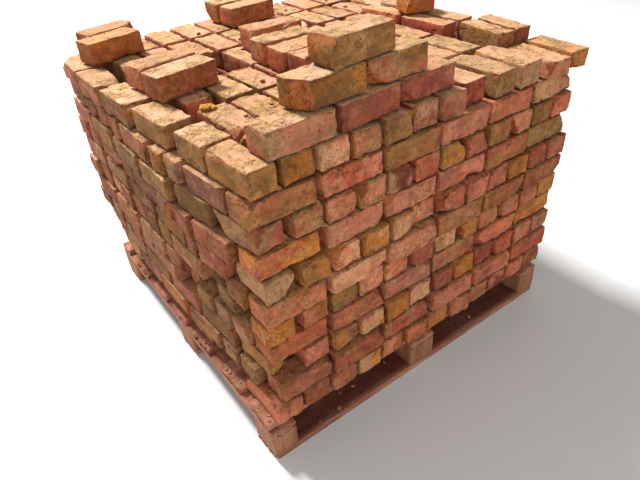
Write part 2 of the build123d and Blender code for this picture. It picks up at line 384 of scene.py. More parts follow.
def solidsOf(nodeName):
    # the separate solids of a CAD node, each as its centre, turn and size; the node itself stays as it is
    shell = bmesh.new()
    shell.from_mesh(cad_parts[nodeName].data)
    bmesh.ops.remove_doubles(shell, verts=shell.verts, dist=0.00001)
    shell.verts.ensure_lookup_table()
    seen = set()
    solids = []
    for start in shell.verts:
        if start.index in seen:
            continue
        seen.add(start.index)
        reach = [start]
        corners = []
        faces = {}
        while reach:
            corner = reach.pop()
            corners.append(corner.co.copy())
            for face in corner.link_faces:
                faces[face.index] = (face.normal.copy(), face.calc_area())
            for edge in corner.link_edges:
                other = edge.other_vert(corner)
                if other.index not in seen:
                    seen.add(other.index)
                    reach.append(other)
        solids.append(measureSolid(corners, faces))
    shell.free()
    return sorted(solids, key=lambda solid: tuple(round(part, 3) for part in solid["centre"]))


def measureSolid(corners, faces):
    # the widest upright face looks across the brick's length; the turn is kept between -90 and 45 degrees
    shares = {}
    for normal, area in faces.values():
        if abs(normal.z) < 0.1:
            angle = round(math.degrees(math.atan2(normal.y, normal.x)), 2) % 180
            shares[angle] = shares.get(angle, 0) + area
    across = max(sorted(shares), key=lambda angle: shares[angle])
    turn = math.radians(across - 90 if across < 135 else across - 270)
    along = Vector((math.cos(turn), math.sin(turn), 0))
    side = Vector((-math.sin(turn), math.cos(turn), 0))
    spans = []
    for axis in (along, side, Vector((0, 0, 1))):
        reach = [corner.dot(axis) for corner in corners]
        spans.append((min(reach), max(reach)))
    middles = [(low + high) / 2 for low, high in spans]
    centre = along * middles[0] + side * middles[1] + Vector((0, 0, middles[2]))
    size = [high - low for low, high in spans]
    left = centre.x - (abs(along.x) * size[0] + abs(side.x) * size[1]) / 2
    front = centre.y - (abs(along.y) * size[0] + abs(side.y) * size[1]) / 2
    return {"centre": centre, "turn": turn, "size": size, "left": left, "front": front}


def asInputs(plan, keys):
    # a plan's values under the names that a tree's inputs have, such as "Gather at edges"
    values = {}
    for key in keys:
        label = "".join(" " + sign.lower() if sign.isupper() else sign for sign in key)
        values[label[0].upper() + label[1:]] = plan[key]
    return values


def socketKind(value):
    if isinstance(value, bpy.types.Material):
        return "NodeSocketMaterial"
    return "NodeSocketInt" if isinstance(value, int) else "NodeSocketFloat"


def startTree(name, values):
    # a tree that takes places and named inputs, and gives a mesh
    tree = bpy.data.node_groups.new(name, "GeometryNodeTree")
    tree.is_modifier = True
    board = Board(tree)
    tree.interface.new_socket("Places", in_out="INPUT", socket_type="NodeSocketGeometry")
    for label, value in values.items():
        tree.interface.new_socket(label, in_out="INPUT", socket_type=socketKind(value))
    tree.interface.new_socket("Made", in_out="OUTPUT", socket_type="NodeSocketGeometry")
    entry = tree.nodes.new("NodeGroupInput")
    return board, {socket.name: socket for socket in entry.outputs}


def gridAtPlaces(board, given, cuts):
    # one gridded block for every place; its lines gather towards the edges, where the shape turns
    counts = {f"Vertices {axis}": given[cut] for axis, cut in zip("XYZ", cuts)}
    grid = board.add("GeometryNodeMeshCube", {}, {"Size": (1, 1, 1), **counts})
    spotted = board.keep(grid, "spot", "FLOAT_VECTOR", board.add("GeometryNodeInputPosition"))
    placed = board.add("GeometryNodeInstanceOnPoints", {}, {"Points": given["Places"], "Instance": spotted})
    blocks = board.add("GeometryNodeRealizeInstances", {}, {"Geometry": placed})
    spot = board.named("spot", "FLOAT_VECTOR")
    bowed = board.scaled(board.vector("SINE", board.scaled(spot, math.pi)), 0.5)
    gather = Wire(board, given["Gather at edges"])
    size = board.named("size", "FLOAT_VECTOR")
    block = board.vector("MULTIPLY", board.moved(board.scaled(spot, 1.0 - gather), bowed, gather), size)
    return blocks, size, block, board.vector("ADD", block, board.named("seed", "FLOAT_VECTOR"))


def roundBlock(board, block, size, arris):
    # a block with rounded edges: its half size, the way each point faces, and the points
    half = board.scaled(size, 0.5)
    inner = board.vector("SUBTRACT", half, board.joined(arris, arris, arris))
    core = board.vector("MAXIMUM", board.vector("MINIMUM", block, inner), board.scaled(inner, -1.0))
    outward = board.vector("NORMALIZE", board.vector("SUBTRACT", block, core))
    return half, outward, board.moved(core, outward, arris)


def finishTree(board, given, geometry):
    geometry = board.add("GeometryNodeSetMaterial", {}, {"Geometry": geometry, "Material": given["Material"]})
    leave = board.tree.nodes.new("NodeGroupOutput")
    board.feed(geometry, leave.inputs[0])
    return board.tree


def finishBlocks(board, given, geometry, shape):
    # out to each one's own place and turn
    inputs = {"Vector": shape, "Rotation": board.named("turns", "FLOAT_VECTOR")}
    turned = board.add("ShaderNodeVectorRotate", {"rotation_type": "EULER_XYZ"}, inputs)
    final = board.vector("ADD", turned, board.named("centre", "FLOAT_VECTOR"))
    geometry = board.add("GeometryNodeSetPosition", {}, {"Geometry": geometry, "Position": final})
    geometry = board.add("GeometryNodeSetShadeSmooth", {}, {"Geometry": geometry})
    return finishTree(board, given, geometry)


def brickTree(values):
    board, given = startTree("wornBricks", values)
    cuts = ("Cuts along X", "Cuts along Y", "Cuts along Z")
    bricks, size, block, own = gridAtPlaces(board, given, cuts)

    # rounded and worn edges
    wear = board.named("wear")
    edgeNoise = board.noise(own, brickPlan["edgeBlotch"]) * 0.75
    edgeNoise = edgeNoise + board.noise(own, brickPlan["edgeBit"]) * 0.25
    arris = Wire(board, given["Arris"]) * wear * edgeNoise.ramp(0.34, 0.68, 0.3, 2.8)
    half, outward, shape = roundBlock(board, block, size, arris)

    # slow waves, lumps and grit of the moulded faces
    waves = (board.noise(own, brickPlan["waveLength"], 1.0) - 0.5) * given["Waves"]
    lumps = (board.noise(own, brickPlan["lumpSize"]) - 0.5) * given["Lumps"]
    grit = (board.noise(own, brickPlan["gritSize"]) - 0.5) * given["Grit"]
    relief = (waves + lumps + grit) * 2.0 - Wire(board, given["Lumps"]) * 0.6
    shape = board.moved(shape, outward, relief * wear)

    # a crust of old mortar in patches, thickest on the bedding faces
    leanZ = board.part(board.vector("ABSOLUTE", outward), 2)
    cover = (board.noise(own, brickPlan["crustSize"], 3.0, 0.6) + board.named("crustShare")).ramp(0.96, 1.04)
    cover = cover * leanZ.ramp(0.5, 0.9, 0.4, 1.0)
    grains = board.noise(own, brickPlan["crustGrain"], 3.0, 0.7)
    shape = board.moved(shape, outward, cover * grains * given["Crust"])
    whole = shape

    # how far each point of a face is from the brick's nearest edge
    gaps = board.vector("SUBTRACT", half, board.vector("ABSOLUTE", block))
    gapX, gapY, gapZ = [board.part(gaps, axis) for axis in range(3)]
    edgeGap = gapX.atMost(gapY).atLeast(gapX.atLeast(gapY).atMost(gapZ))

    # bites out of edges and corners, then flat breaks
    ragged = board.noise(own, brickPlan["raggedSize"], 3.0)
    for number in biteNumbers:
        middle = board.named(f"bite{number}", "FLOAT_VECTOR")
        radius = board.named(f"biteSize{number}") * (ragged * 0.7 + 0.65)
        away = board.vector("SUBTRACT", shape, middle)
        push = (radius - board.vector("LENGTH", away, output=1)).atLeast(0.0)
        shape = board.moved(shape, board.vector("NORMALIZE", away), push)
    for number in breakNumbers:
        facing = board.named(f"break{number}", "FLOAT_VECTOR")
        depth = board.named(f"breakDepth{number}") + (ragged - 0.5) * given["Break roughness"]
        cut = (board.vector("DOT_PRODUCT", shape, facing, output=1) - depth).atLeast(0.0)
        shape = board.vector("SUBTRACT", shape, board.scaled(facing, cut))
    lost = board.vector("LENGTH", board.vector("SUBTRACT", shape, whole), output=1)

    bricks = board.keep(bricks, "lost", "FLOAT", lost)
    bricks = board.keep(bricks, "crust", "FLOAT", cover * (1.0 - lost.ramp(0.001, 0.003)))
    bricks = board.keep(bricks, "edgeGap", "FLOAT", edgeGap)
    bricks = board.keep(bricks, "own", "FLOAT_VECTOR", own)
    return finishBlocks(board, given, bricks, shape)


def startShader(name):
    material = bpy.data.materials.new(name)
    material.use_nodes = True
    material.node_tree.nodes.clear()
    return material, Board(material.node_tree)


def upwardness(board):
    return board.part(board.add("ShaderNodeNewGeometry", {}, {}, "Normal"), 2)


def finishShader(board, colour, roughness, height, bumpStrength, bumpDistance):
    bumpInputs = {"Strength": bumpStrength, "Distance": bumpDistance, "Height": height}
    bump = board.add("ShaderNodeBump", {}, bumpInputs)
    inputs = {"Base Color": colour, "Roughness": roughness, "Normal": bump, "Specular IOR Level": 0.25}
    shader = board.add("ShaderNodeBsdfPrincipled", {}, inputs)
    end = board.tree.nodes.new("ShaderNodeOutputMaterial")
    board.feed(shader, end.inputs[0])


# Noises of the clay's look: how wide a blotch is, then detail, roughness, stretch and shift
clayNoises = {
    "cloud": (0.075, 2.0, 0.5),
    "drift": (0.09, 3.0, 0.55, 1.0, (7.3, 2.1, 5.7)),
    "smear": (0.022, 4.0, 0.6, 0.45),
    "fine": (0.011, 3.0, 0.6),
    "speck": (0.0036, 2.0, 0.6),
    "chip": (0.026, 4.0, 0.62),
    "growth": (0.06, 5.0, 0.68, 1.0, (1.9, 8.3, 4.4)),
    "lime": (0.017, 5.0, 0.75),
    "dent": (0.03, 3.0, 0.55, 1.0, (3.1, 0.7, 9.2)),
    "crack": (0.045, 4.0, 0.55),
}
# Its marks: how strong each one is, and its tone or two tones
clayMarks = {
    "film": (0.3, (158, 112, 74), (186, 134, 102)),
    "arris": (0.2, (208, 140, 98)),
    "chip": (0.7, (142, 74, 46)),
    # painted shade in the joints
    "soil": (0.85, (54, 30, 20)),
    "raw": (0.75, (138, 60, 40), (184, 104, 56)),
    "sand": (1.0, (230, 178, 142), (208, 164, 116)),
    "growth": (1.0, (144, 106, 60), (204, 160, 104)),
    "crust": (0.8, (148, 116, 72), (208, 168, 114)),
    "lime": (0.35, (222, 192, 156)),
    "pit": (0.6, (84, 40, 26)),
    # painted shade in dents and cracks
    "dent": (1.0, (92, 46, 30)),
}
# What else its look takes: factors that darken and lighten it, widths, strengths, and the bump's two values
clayPlan = {
    "driftLight": (0.76, 1.20),
    "smearLight": (0.82, 1.16),
    "fineLight": (0.84, 1.10),
    "speckLight": (0.84, 1.10),
    "arrisWidth": 0.005,
    "chipReach": 0.020,
    "jointShadeReach": 0.014,
    "pitsPerMetre": 80.0,
    "dentShadeStrength": 0.30,
    "crackShadeStrength": 0.40,
    "roughness": (0.84, 0.97),
    "bump": (1.0, 0.0044),
}


def brickMaterial():
    material, board = startShader("firedClay")
    own = board.attribute("own", "Vector")
    crust = board.attribute("crust")
    edgeGap = board.attribute("edgeGap")
    film = board.attribute("film")
    upward = upwardness(board)
    noises = [board.noise(own, *row) for row in clayNoises.values()]
    cloud, drift, smear, fine, speck, chip, growth, lime, dent, crack = noises

    # the clay's own tone, going over into a second one in wide soft patches
    patchMask = (cloud + board.attribute("patchShare") + (fine - 0.5) * 0.16).ramp(0.88, 1.10)
    colour = board.mix(patchMask, board.attribute("tone", "Color"), board.attribute("patch", "Color"))
    lights = {"driftLight": drift, "smearLight": smear, "fineLight": fine, "speckLight": speck}
    colour = board.shaded(colour, *[noise.spread(*clayPlan[kind]) for kind, noise in lights.items()])

    # a thin film of old mortar and dirt, worn through in places
    colour = board.marked(colour, clayMarks["film"], (smear + film).ramp(0.94, 1.14), cloud.ramp(0.4, 0.6))

    # worn arrises: mostly a little paler, and darker where they are chipped, partly raw clay and partly
    # painted shade of chips too small for the mesh
    pale = edgeGap.ramp(0.001, clayPlan["arrisWidth"], 1.0, 0.0) * fine.ramp(0.35, 0.6)
    colour = board.marked(colour, clayMarks["arris"], pale)
    chipReach = chip.ramp(0.50, 0.78, 0.0, clayPlan["chipReach"]) + (fine - 0.5) * 0.002
    chips = (chipReach - edgeGap).ramp(0.0, 0.0016)
    colour = board.marked(colour, clayMarks["chip"], chips, None, speck.spread(0.5, 1.2))

    # painted shade in the joints, darkest where the ambient occlusion node finds them closed in
    jointShadeInputs = {"Distance": clayPlan["jointShadeReach"]}
    openness = board.add("ShaderNodeAmbientOcclusion", {"samples": 4}, jointShadeInputs, "AO")
    colour = board.marked(colour, clayMarks["soil"], openness.ramp(0.15, 0.75, 1.0, 0.0))

    # rawer and darker clay where the brick is broken
    raw = board.attribute("lost").ramp(0.0012, 0.0045)
    colour = board.marked(colour, clayMarks["raw"], raw, cloud.ramp(0.42, 0.58), fine.spread(0.65, 1.2))

    # sandy dust on what looks up, which on the left side also stands as painted highlight on the ledges,
    # green-brown growth in places, and crusts of lime mortar
    settled = upward.ramp(0.45, 0.92) * (fine.ramp(0.22, 0.5) * 0.35 + 0.6) * board.attribute("dust")
    sandLights = (smear.ramp(0.3, 0.65, 0.76, 1.08), speck.ramp(0.32, 0.6, 0.78, 1.06))
    colour = board.marked(colour, clayMarks["sand"], settled, drift.ramp(0.35, 0.65), *sandLights)
    grown = growth.ramp(0.515, 0.58) * upward.ramp(0.3, 0.9, 0.2, 0.9) * film.ramp(0.33, 0.48, 0.2, 1.0)
    colour = board.marked(colour, clayMarks["growth"], grown, fine.ramp(0.4, 0.6))
    colour = board.marked(colour, clayMarks["crust"], crust, fine.ramp(0.35, 0.65))
    colour = board.marked(colour, clayMarks["lime"], lime.ramp(0.68, 0.76))

    # dark pits, here and there
    cells = board.add("ShaderNodeTexVoronoi", {}, {"Vector": own, "Scale": clayPlan["pitsPerMetre"]})
    pits = cells.ramp(0.10, 0.20, 1.0, 0.0) * drift.ramp(0.45, 0.6) + speck.ramp(0.24, 0.30, 0.7, 0.0)
    pits = pits.atMost(1.0)
    colour = board.marked(colour, clayMarks["pit"], pits)

    # painted shade in shallow dents and hairline cracks
    dents = dent.ramp(0.30, 0.42, 1.0, 0.0)
    cracks = (crack - 0.5).maths("ABSOLUTE").ramp(0.0, 0.008, 1.0, 0.0) * drift.ramp(0.56, 0.66)
    shadow = (dents * clayPlan["dentShadeStrength"] + cracks * clayPlan["crackShadeStrength"]).atMost(1.0)
    colour = board.marked(colour, clayMarks["dent"], shadow)

    # how much each of them adds to the bump, or takes away
    height = fine * 0.5 + smear * 0.45 + speck * 0.3 - pits * 0.8 - dents * 0.9 - cracks * 0.8 - chips * 1.2
    height = height + (crust + grown) * speck
    finishShader(board, colour, fine.spread(*clayPlan["roughness"]), height, *clayPlan["bump"])
    return material


def spottedMaterial(name, plan):
    # blotches of two tones under a finer grain
    material, board = startShader(name)
    place = board.add("ShaderNodeTexCoord", {}, {}, "Object")
    blotch, grain = [board.noise(place, size, 3.0, 0.6) for size in plan["blotches"]]
    light = grain * plan["contrast"] + (1.0 - plan["contrast"] / 2)
    colour = board.shaded(board.between(blotch.ramp(0.4, 0.6), plan["tones"]), light)
    finishShader(board, colour, grain.spread(*plan["roughness"]), grain, *plan["bump"])
    return material


# The hidden core, which shows only through the widest joints, darkened there as painted shade
corePlan = {
    "blotches": (0.07, 0.01),
    "contrast": 1.0,
    "tones": ((104, 54, 38), (140, 84, 56)),
    "roughness": (0.85, 0.97),
    "bump": (0.6, 0.003),
}


# How a number, a direction and a colour lie on a mesh
layerKinds = {1: ("FLOAT", "value"), 3: ("FLOAT_VECTOR", "vector"), 4: ("FLOAT_COLOR", "color")}


def placeMesh(name, items):
    # one vertex for each brick or board, with all that the node tree needs to know of it
    mesh = bpy.data.meshes.new(name)
    mesh.from_pydata([item["centre"] for item in items], [], [])
    for key in items[0]:
        values = np.array([item[key] for item in items], np.float32)
        kind, field = layerKinds[values.size // len(items)]
        mesh.attributes.new(key, kind, "POINT").data.foreach_set(field, values.ravel())
    return mesh


def growPiece(name, mesh, tree, values):
    # what a tree makes of the places, turned into a plain mesh object at the origin
    thing = inScene(name + "Places", mesh)
    modifier = thing.modifiers.new("grow", "NODES")
    modifier.node_group = tree
    for socket in tree.interface.items_tree:
        if socket.in_out == "INPUT" and socket.name in values:
            modifier[socket.identifier] = values[socket.name]
    depsgraph = bpy.context.evaluated_depsgraph_get()
    made = bpy.data.meshes.new_from_object(thing.evaluated_get(depsgraph), depsgraph=depsgraph)
    bpy.data.objects.remove(thing)
    made.name = name
    return inScene(name, made)


def sideOf(solid):
    # which side of the stack a brick is seen on
    if solid["front"] < cadLow[1] + brickPlan["frontDepth"]:
        return "front"
    if solid["left"] < cadLow[0] + brickPlan["leftDepth"]:
        return "left"
    return "inside"


def turnIn(direction, turn):
    # a direction in the stack's axes, as the brick's own axes see it
    x, y, z = Vector(direction).normalized()
    return Vector((x * math.cos(turn) + y * math.sin(turn), y * math.cos(turn) - x * math.sin(turn), z))


def seedOf(dice):
    # a place in the noise, far from every other brick's
    return [dice.uniform(-brickPlan["seedReach"], brickPlan["seedReach"]) for axis in range(3)]


def facingOf(dice, least):
    # a direction by chance, never quite along an axis
    return Vector([dice.choice((-1, 1)) * dice.uniform(least, 1.0) for axis in range(3)]).normalized()


def reachOf(facing, size):
    # how far a block reaches from its middle in a direction
    return sum(abs(facing[axis]) * size[axis] / 2 for axis in range(3))


def dressBrick(solid, dice, side, tone, patch, share, cut):
    # what a brick is like: its tones, its wear, and where it is chipped or broken
    plan = brickPlan
    x, y, z = solid["centre"]
    length, width, height = solid["size"]
    inset = 2 * plan["joint"]
    lower = dice.uniform(*plan["lower"])
    # painted shade on the left side's bricks, and painted highlight through the sand on their ledges
    light = dice.uniform(*paintedSideShade[side])
    tiltX, tiltY = [math.radians(dice.uniform(-most, most)) for most in plan["tilt"]]
    brick = {
        "centre": [x, y, z - lower / 2],
        "size": [length - inset, width - inset, height - lower],
        "turns": (tiltX, tiltY, solid["turn"]),
        "seed": seedOf(dice),
        "wear": dice.uniform(*plan["wear"]),
        "tone": linear(*[part * light * dice.uniform(*plan["channelScatter"]) for part in tones[tone]]),
        "patch": linear(*[part * light for part in tones[patch]]),
        "patchShare": share,
        "dust": dice.uniform(*dustAndLedgeLightShares[side]),
        "film": dice.uniform(*plan["film"]),
        "crustShare": dice.choice(plan["crustShares"]),
    }
    for number in biteNumbers:
        corner = [dice.choice((-1, 1)) for axis in range(3)]
        if dice.random() < plan["biteAlongEdge"]:
            free = dice.choice((0, 1))
            corner[free] = dice.uniform(-0.8, 0.8)
        radius = dice.choice(plan["biteSizes"]) * dice.uniform(*plan["biteScatter"])
        stand = 1.0 + plan["biteStandOff"] * radius
        brick[f"bite{number}"] = [corner[axis] * part / 2 * stand for axis, part in enumerate(brick["size"])]
        brick[f"biteSize{number}"] = radius
    for number in breakNumbers:
        facing = facingOf(dice, 0.3)
        depth = dice.choice(plan["breakDepths"]) * dice.uniform(*plan["breakScatter"])
        if cut and number == 1:
            facing = turnIn(cut[0], solid["turn"])
            depth = cut[1]
        brick[f"break{number}"] = list(facing)
        brick[f"breakDepth{number}"] = reachOf(facing, brick["size"]) - depth
    return brick


def dressNode(nodeName, dice):
    # the bricks of a node, the notable ones as the tables say and the others by chance
    order = {"front": [], "left": [], "inside": [], "any": []}
    for solid in solidsOf(nodeName):
        order["any" if nodeName.startswith("loose") else sideOf(solid)].append(solid)
    order["any"].sort(key=lambda solid: (round(solid["centre"].x, 2), solid["centre"].y))
    order["front"].sort(key=lambda solid: solid["centre"].x)
    order["left"].sort(key=lambda solid: solid["centre"].y)
    bricks = []
    for side, group in order.items():
        where = f"{nodeName} {side}"
        for number, solid in enumerate(group, 1):
            centre = solid["centre"]
            isLong = side == "front" or centre.y > brickPlan["farSide"]
            isShort = side == "left" or centre.x > brickPlan["farSide"]
            kind = "long" if isLong else "short" if isShort else "inside"
            usual = [dice.choice(usualTones[kind]), dice.choice(usualPatches)]
            usual.append(dice.uniform(*brickPlan["patchShare"]))
            look = notableBricks.get(where, {}).get(number, usual)
            cut = notableBreaks.get(where, {}).get(number)
            isTop = centre.z + solid["size"][2] / 2 > brickPlan["topHeight"]
            bricks.append(dressBrick(solid, dice, "top" if isTop else side, *look, cut))
    return bricks


crumbPlan = {
    "onTop": 30,
    "topReach": 0.5,
    "onDeckEnds": 10,
    "deckEndReach": (0.006, 0.03),
    "deckMargin": 0.02,
    "onBottomBoards": 12,
    "pocketReach": (0.1, 0.44),
    "bottomMargins": (0.015, 0.03),
    "inWood": 0.002,  # how far they sit in the worn boards
    "size": (0.006, 0.020),
    "sunk": 0.25,
    "arris": 0.0022,
    "cuts": 5,
    "edgeMargin": 0.008,  # how far from a brick's edges they lie
    "yellowClump": (-0.430, -0.197),
    "inClump": 10,
    "clumpSize": 1.9,
    "clumpReach": 0.012,
    "tilt": 0.15,
    "seed": 31,
}


def isOver(brick, x, y):
    # whether a place lies over a brick, well inside its edges
    turn = brick["turns"][2]
    offX = x - brick["centre"][0]
    offY = y - brick["centre"][1]
    along = offX * math.cos(turn) + offY * math.sin(turn)
    side = offY * math.cos(turn) - offX * math.sin(turn)
    reachAlong, reachSide = [part / 2 - crumbPlan["edgeMargin"] for part in brick["size"][:2]]
    return abs(along) < reachAlong and abs(side) < reachSide


def makeCrumb(place, length, tone, dice):
    x, y, z = place
    tilt = crumbPlan["tilt"]
    size = [length, length * dice.uniform(0.6, 0.9), length * dice.uniform(0.35, 0.6)]
    crumb = {
        "centre": (x, y, z + size[2] * (0.5 - crumbPlan["sunk"])),
        "size": size,
        "turns": (dice.uniform(-tilt, tilt), dice.uniform(-tilt, tilt), dice.uniform(0, math.pi)),
        "seed": seedOf(dice),
        "wear": dice.uniform(0.8, 1.3),
        "tone": linear(*tones[tone]),
        "patch": linear(*tones[dice.choice(usualPatches)]),
        "patchShare": 0.35,
        "dust": 0.1 if tone == "yellow" else 0.4,
        "film": 0.3,
        "crustShare": 0.0,
    }
    for number in biteNumbers:
        crumb[f"bite{number}"] = (length * 2, 0, 0)  # no bites
        crumb[f"biteSize{number}"] = 0.0
    for number in breakNumbers:
        facing = facingOf(dice, 0.4)
        crumb[f"break{number}"] = list(facing)
        crumb[f"breakDepth{number}"] = reachOf(facing, size) * dice.uniform(0.55, 0.8)
    return crumb


def makeCrumbs(tree, values, topBricks, looseBricks):
    # small bits of brick on the top course, on the deck boards' left ends and on the front bottom board
    dice = random.Random(crumbPlan["seed"])
    places = []

    def placeOnTop(x, y, tone):
        below = [brick for brick in topBricks if isOver(brick, x, y)]
        if below and (tone or not any(isOver(brick, x, y) for brick in looseBricks)):
            places.append((x, y, below[0]["centre"][2] + below[0]["size"][2] / 2, tone))

    reach = crumbPlan["topReach"]
    while len(places) < crumbPlan["onTop"]:
        placeOnTop(dice.uniform(-reach, reach), dice.uniform(-reach, reach), None)
    clumpX, clumpY = crumbPlan["yellowClump"]
    for step in range(crumbPlan["inClump"]):
        offX, offY = [dice.uniform(-1, 1) * crumbPlan["clumpReach"] for axis in range(2)]
        placeOnTop(clumpX + offX, clumpY + offY, "yellow")
    decks = [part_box(name) for name in sorted(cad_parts) if name.startswith("deck_board")]
    margin = crumbPlan["deckMargin"]
    for step in range(crumbPlan["onDeckEnds"]):
        low, high = dice.choice(decks)
        x = low[0] + dice.uniform(*crumbPlan["deckEndReach"])
        y = dice.uniform(low[1] + margin, high[1] - margin)
        places.append((x, y, high[2] - crumbPlan["inWood"], None))
    low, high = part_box("bottom_board_front")
    near, far = crumbPlan["pocketReach"]
    frontMargin, backMargin = crumbPlan["bottomMargins"]
    for step in range(crumbPlan["onBottomBoards"]):
        x = dice.choice((dice.uniform(-far, -near), dice.uniform(near, far)))
        y = dice.uniform(low[1] + frontMargin, high[1] - backMargin)
        places.append((x, y, high[2] - crumbPlan["inWood"], None))
    crumbs = []
    for x, y, z, tone in places:
        length = dice.uniform(*crumbPlan["size"]) * (crumbPlan["clumpSize"] if tone else 1.0)
        crumbs.append(makeCrumb((x, y, z), length, tone or dice.choice(usualTones["inside"]), dice))
    cuts = {f"Cuts along {axis}": crumbPlan["cuts"] for axis in "XYZ"}
    crumbValues = {**values, **cuts, "Arris": crumbPlan["arris"]}
    piece = growPiece("brick_crumbs", placeMesh("crumbs", crumbs), tree, crumbValues)
    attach(piece, "root")


def makeBricks():
    shapes = ("gatherAtEdges", "arris", "waves", "lumps", "grit", "crust", "breakRoughness")
    values = {f"Cuts along {axis}": brickPlan["cutsAlong" + axis] + 1 for axis in "XYZ"}
    values = {**values, **asInputs(brickPlan, shapes), "Material": brickMaterial()}
    tree = brickTree(values)
    dressed = {}
    for order, nodeName in enumerate(sorted(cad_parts)):
        if not nodeName.startswith(("course", "loose")):
            continue
        dice = random.Random(brickPlan["seed"] * 1000 + order)
        bricks = dressed[nodeName] = dressNode(nodeName, dice)
        piece = growPiece("worn_" + nodeName, placeMesh(nodeName, bricks), tree, values)
        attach(piece, "root")
        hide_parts(nodeName)
        print("bricks of", nodeName, len(bricks), "with", len(piece.data.polygons), "faces")
    loose = [brick for name, bricks in dressed.items() if name.startswith("loose") for brick in bricks]
    makeCrumbs(tree, values, dressed["course_11"], loose)
    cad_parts["hidden_core"].material_slots[0].material = spottedMaterial("coreClay", corePlan)


makeBricks()
print("stage 3: bricks")


# Pallet

palletPlan = {
    "cutsAlongBoard": 56,
    "cutsAcrossBoard": 16,
    "cutsThroughBoard": 4,
    "cutsOfBlock": 12,
    "gatherAtEdges": 0.6,
    "arris": 0.0015,
    "leastArris": 0.0008,
    "arrisBlotch": 0.03,
    "fibreRelief": 0.0013,
    "fibreWidth": 0.010,
    "warp": 0.0020,
    "warpLength": 0.16,
    "splinterReach": 0.045,
    "splinterWidth": 0.022,
    "endWear": (0.002, 0.009),
    "wear": (0.8, 1.3),
    "blockArris": 2.2,
    "frontSetBack": 0.020,  # how far the front deck board's edge lies back under the bricks
    "seedReach": 0.07,  # across the fibres, so that the pith stays near the board
    "seed": 5,
}

# How far in the splintered ends of some boards reach, left end and right end
raggedEnds = {
    "deck_board_1": (0.006, 0.003),
    "deck_board_2": (0.018, 0.006),
    "deck_board_3": (0.012, 0.004),
    "deck_board_6": (0.012, 0.008),
    "bottom_board_front": (0.010, 0.006),
}


def boardTree(values):
    board, given = startTree("wornBoards", values)
    cuts = ("Cuts along board", "Cuts across board", "Cuts through board")
    boards, size, block, flat = gridAtPlaces(board, given, cuts)
    blockX, blockY, blockZ = [board.part(block, axis) for axis in range(3)]
    seed = board.named("seed", "FLOAT_VECTOR")
    stood = board.vector("ADD", board.joined(blockZ, blockY, blockX), seed)
    upright = board.named("upright")
    own = board.moved(board.scaled(flat, 1.0 - upright), stood, upright)

    # worn edges
    arris = Wire(board, given["Arris"]) * board.named("wear")
    arris = arris * (board.noise(flat, palletPlan["arrisBlotch"], 3.0) * 1.8 + 0.1)
    half, outward, shape = roundBlock(board, block, size, arris.atLeast(palletPlan["leastArris"]))

    # ridges along the fibres, and a slow warp
    ridges = board.noise(own, palletPlan["fibreWidth"], stretch=0.08)
    slow = board.noise(flat, palletPlan["warpLength"], 1.0, stretch=0.5)
    relief = (ridges - 0.75) * given["Fibre relief"] + (slow - 0.8) * given["Warp"]
    shape = board.moved(shape, outward, relief)

    # splintered ends: each bundle of fibres ends somewhere else
    toEnd = board.part(half, 0) - blockX.maths("ABSOLUTE")
    atEnd = (toEnd / given["Splinter reach"]).ramp(0.0, 1.0, 1.0, 0.0)
    isHigh = blockX.maths("GREATER_THAN", 0.0)
    rag = board.named("ragLow") * (1.0 - isHigh) + board.named("ragHigh") * isHigh
    across = board.vector("MULTIPLY", flat, (0.0, 1.0, 1.6))
    bundles = board.noise(across, Wire(board, given["Splinter width"]))
    pull = atEnd * rag * bundles.ramp(0.45, 0.55) * (1.0 - 2.0 * isHigh)
    shape = board.vector("ADD", shape, board.joined(pull, 0.0, 0.0))

    # a board that lies a little back under the bricks
    frontness = (blockY / board.part(half, 1)).ramp(-1.0, 0.1, 1.0, 0.0)
    shape = board.vector("ADD", shape, board.joined(0.0, frontness * board.named("setBack"), 0.0))

    endLook = board.part(board.vector("ABSOLUTE", outward), 0)
    boards = board.keep(boards, "own", "FLOAT_VECTOR", own)
    boards = board.keep(boards, "endLook", "FLOAT", endLook * (1.0 - upright))
    boards = board.keep(boards, "stood", "FLOAT", upright)
    boards = board.keep(boards, "torn", "FLOAT", atEnd * rag * 60.0)
    return finishBlocks(board, given, boards, shape)


# The wood's look, as for the clay
woodNoises = {
    "fibres": (0.0045, 4.0, 0.65, 0.05),
    "streaks": (0.028, 3.0, 0.6, 0.10),
    "wander": (0.07, 2.0, 0.5, 0.2),
    "split": (0.011, 2.0, 0.5, 0.035),
    "cloud": (0.12, 4.0, 0.6),
    "speck": (0.006, 3.0, 0.6),
}
woodMarks = {
    "cloud": (0.6, (140, 80, 66)),
    "block": (0.7, (128, 84, 56), (176, 126, 86)),
    "end": (0.45, (172, 120, 92)),
    "torn": (0.5, (112, 62, 42)),
    "dust": (1.0, (196, 126, 98)),
    # painted shade under the load
    "damp": (1.0, (84, 36, 26)),
    "split": (0.75, (62, 32, 24)),
}
woodPlan = {
    "tones": ((146, 94, 74), (198, 142, 112)),
    "ringWander": 0.03,
    "ringWidth": 0.0068,
    "sawWidth": 0.0052,
    "sawWander": 9.0,
    "underLoadShadeDepth": (0.575, 0.600),  # from the pallet's middle
    "underLoadShadeHeight": (0.09, 0.12),
    "roughness": (0.72, 0.92),
    "bump": (0.75, 0.0022),
}


